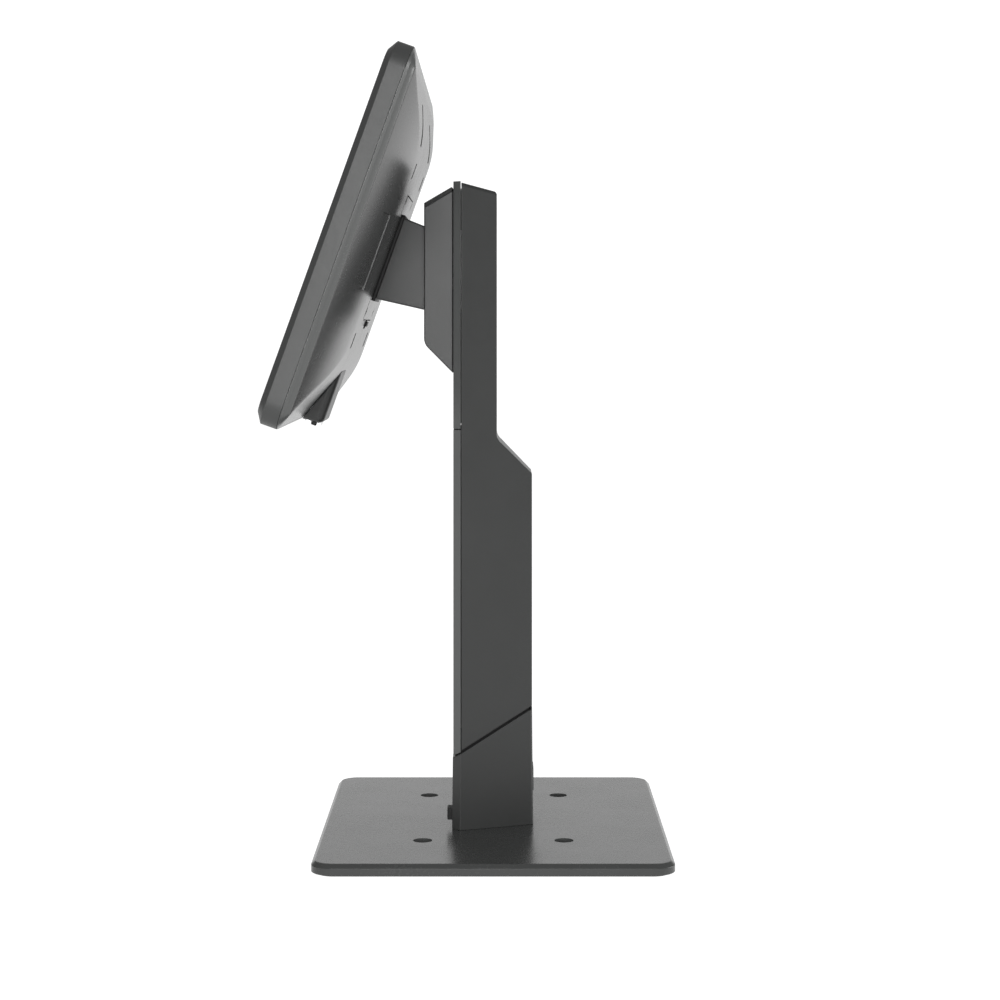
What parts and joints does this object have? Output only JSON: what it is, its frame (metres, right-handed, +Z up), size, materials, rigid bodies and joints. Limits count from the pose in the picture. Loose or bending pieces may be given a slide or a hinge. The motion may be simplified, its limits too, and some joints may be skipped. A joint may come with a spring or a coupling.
{
  "type": "counter touch terminal",
  "caption": "Wide touch display on a tilting neck, carried by a plastic-clad steel column on a flat base plate with counter bolt holes.",
  "frame": {"origin": "middle of the base's underside, where the rubber pad rests on the counter", "axes": "+X across the screen, +Y towards the rear, +Z up; the screen faces -Y"},
  "size_m": [0.498, 0.3257, 0.6554],
  "materials": {
    "base_steel": "satin powder coat",
    "grey_plastic": "satin moulded",
    "bezel_grey": "satin coat",
    "back_plastic": "satin moulded",
    "plate_grey": "satin coat",
    "black_plastic": "matt black",
    "black_screws": "black oxide",
    "zinc_screws": "zinc plated",
    "plain_steel": "galvanised sheet",
    "spine_steel": "black coat",
    "bright_steel": "bright",
    "bush_bronze": "plain",
    "contact_brass": "plated",
    "sink_aluminium": "anodised",
    "pad_rubber": "matt",
    "lead_rubber": "matt",
    "board_green": "coated laminate",
    "panel_black": "gloss",
    "screen_glass": "hard coat"
  },
  "bodies": {
    "stand": {"base_plate": "base_steel", "base_pad": "pad_rubber", "post_screws": "zinc_screws", "column_spine": "spine_steel", "foot_shell": "grey_plastic", "rear_cover": "grey_plastic", "rear_cover_screws": "black_screws", "front_cover_lower": "grey_plastic", "front_cover_upper": "grey_plastic", "supply_bracket": "plain_steel", "power_supply": "black_plastic", "mains_inlet": "black_plastic", "inlet_contacts": "contact_brass", "inlet_lead": "lead_rubber", "supply_lead": "lead_rubber", "lead_connector": "black_plastic", "head_shell": "grey_plastic", "head_cap": "black_plastic", "hinge_bracket": "plain_steel", "hinge_screws": "zinc_screws", "tilt_shaft": "bright_steel", "friction_washers": "bush_bronze", "hinge_nuts": "zinc_screws"},
    "display": {"neck_arm": "spine_steel", "tilt_bushes": "bush_bronze", "neck_cover": "grey_plastic", "arm_screws": "zinc_screws", "mount_plate": "plate_grey", "mount_screws": "black_screws", "back_cover": "back_plastic", "cover_screws": "black_screws", "side_port_cover_left": "back_plastic", "side_port_cover_right": "back_plastic", "io_housing": "grey_plastic", "io_board": "board_green", "usb_port": "bright_steel", "network_jack": "bright_steel", "power_jack": "black_plastic", "button_switch": "black_plastic", "front_bezel": "bezel_grey", "touch_glass": "screen_glass", "glass_gasket": "pad_rubber", "lcd_panel": "panel_black", "mid_frame": "plain_steel", "board_standoffs": "contact_brass", "main_board": "board_green", "heat_sink": "sink_aluminium", "memory_module": "board_green", "storage_drive": "board_green", "touch_controller": "board_green", "speaker_left": "black_plastic", "speaker_right": "black_plastic"},
    "mount_release": {"mount_latch": "black_plastic"},
    "power_key": {"power_button": "black_plastic"},
    "foot_release": {"foot_latch": "black_plastic"}
  },
  "joints": [
    {"name": "display_tilt", "type": "hinge", "parent": "stand", "child": "display", "pos_m": [0, -0.042, 0.484], "axis": [-1, 0, 0], "range_deg": [-15, 12]},
    {"name": "mount_latch_slide", "type": "slide", "parent": "display", "child": "mount_release", "axis": [0, -0.3387, -0.9409], "range_m": [0, 0.002], "stiffness_N_per_m": 800, "springref_m": -0.0005},
    {"name": "power_press", "type": "slide", "parent": "display", "child": "power_key", "axis": [0, 0.3387, 0.9409], "range_m": [0, 0.0012], "stiffness_N_per_m": 1200, "springref_m": -0.0004},
    {"name": "foot_latch_press", "type": "slide", "parent": "stand", "child": "foot_release", "axis": [0, 1, 0], "range_m": [0, 0.0025], "stiffness_N_per_m": 1500, "springref_m": -0.0005}
  ]
}
